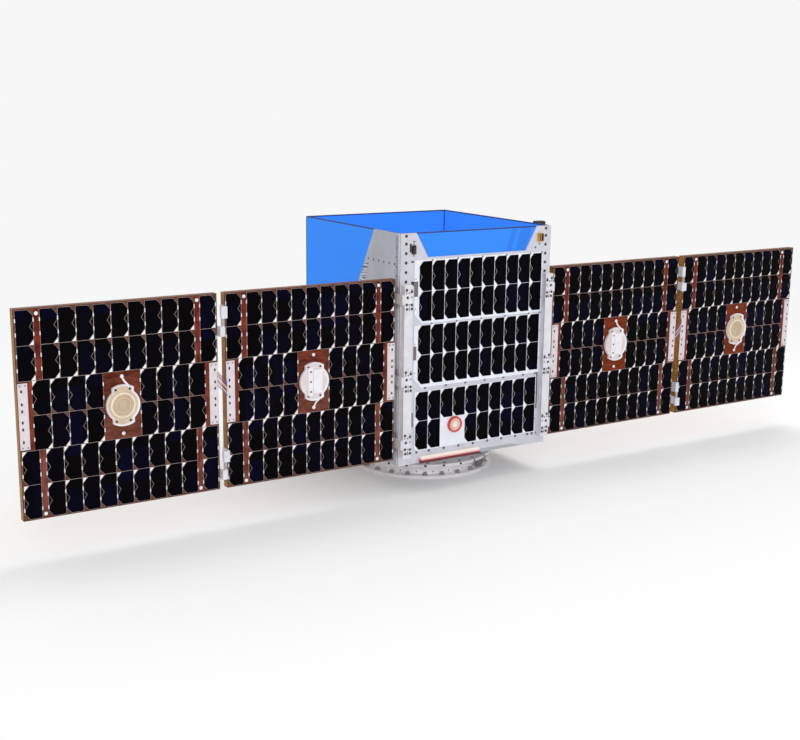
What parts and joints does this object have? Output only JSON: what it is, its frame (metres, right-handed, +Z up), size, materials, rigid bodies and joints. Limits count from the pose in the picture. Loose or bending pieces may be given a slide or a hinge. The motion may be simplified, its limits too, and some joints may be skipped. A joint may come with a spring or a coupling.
{
  "type": "microsatellite with folding solar wings",
  "caption": "Box-shaped microsatellite with an open blue payload bin, face-mounted solar cells, a folding solar wing on each side and a separation ring as its foot.",
  "frame": {"origin": "centre of the separation ring's foot, in its bolted face", "axes": "+X across the bus towards the right wing as seen from the cell side, -Y out of the cell side, +Z up from the ring to the payload bin"},
  "size_m": [2.52, 0.5515, 0.716],
  "materials": {
    "aluminium_wall": "satin machined",
    "bin_blue": "flat paint",
    "board_white": "satin solder mask",
    "box_grey": "satin",
    "cell_dark": "cover glass",
    "connector_black": "matte",
    "cup_cream": "satin",
    "deck_skin": "satin",
    "hinge_metal": "satin anodised",
    "imager_gold": "gold plated",
    "panel_film": "glossy film",
    "rail_pink": "satin",
    "ring_metal": "satin machined",
    "sensor_red": "gloss",
    "strip_white": "satin"
  },
  "bodies": {
    "bus": {"avionics_unit": "box_grey", "back_plate": "aluminium_wall", "bin_back": "bin_blue", "bin_floor": "bin_blue", "bin_front": "bin_blue", "bin_left": "bin_blue", "bin_right": "bin_blue", "bottom_deck": "deck_skin", "corner_imager": "imager_gold", "face_connector": "connector_black", "face_plate_bottom": "board_white", "face_plate_middle": "board_white", "face_plate_top": "board_white", "foot_rail": "rail_pink", "front_plate": "aluminium_wall", "left_hinge_rail": "hinge_metal", "left_plate": "aluminium_wall", "lower_ring": "ring_metal", "payload_deck": "deck_skin", "right_hinge_rail": "hinge_metal", "right_plate": "aluminium_wall", "side_antenna": "connector_black", "sun_sensor": "sensor_red", "upper_ring": "ring_metal"},
    "left_inner_wing": {"left_inner_cells": "cell_dark", "left_inner_cup": "cup_cream", "left_inner_panel": "panel_film", "left_inner_strips": "strip_white", "left_mid_leaves_inner": "hinge_metal", "left_root_leaves": "hinge_metal"},
    "left_outer_wing": {"left_mid_leaves_outer": "hinge_metal", "left_outer_cells": "cell_dark", "left_outer_cup": "cup_cream", "left_outer_panel": "panel_film", "left_outer_strips": "strip_white"},
    "right_inner_wing": {"right_inner_cells": "cell_dark", "right_inner_cup": "cup_cream", "right_inner_panel": "panel_film", "right_inner_strips": "strip_white", "right_mid_leaves_inner": "hinge_metal", "right_root_leaves": "hinge_metal"},
    "right_outer_wing": {"right_mid_leaves_outer": "hinge_metal", "right_outer_cells": "cell_dark", "right_outer_cup": "cup_cream", "right_outer_panel": "panel_film", "right_outer_strips": "strip_white"}
  },
  "joints": [
    {"name": "left_root_hinge", "type": "hinge", "parent": "bus", "child": "left_inner_wing", "pos_m": [-0.25725, -0.242, 0.3465], "axis": [0, 0, -1], "range_deg": [0, 90]},
    {"name": "left_mid_hinge", "type": "hinge", "parent": "left_inner_wing", "child": "left_outer_wing", "pos_m": [-0.76225, -0.277, 0.3465], "axis": [0, 0, 1], "range_deg": [0, 180]},
    {"name": "right_root_hinge", "type": "hinge", "parent": "bus", "child": "right_inner_wing", "pos_m": [0.25725, -0.242, 0.3465], "axis": [0, 0, 1], "range_deg": [0, 90]},
    {"name": "right_mid_hinge", "type": "hinge", "parent": "right_inner_wing", "child": "right_outer_wing", "pos_m": [0.76225, -0.277, 0.3465], "axis": [0, 0, -1], "range_deg": [0, 180]}
  ]
}
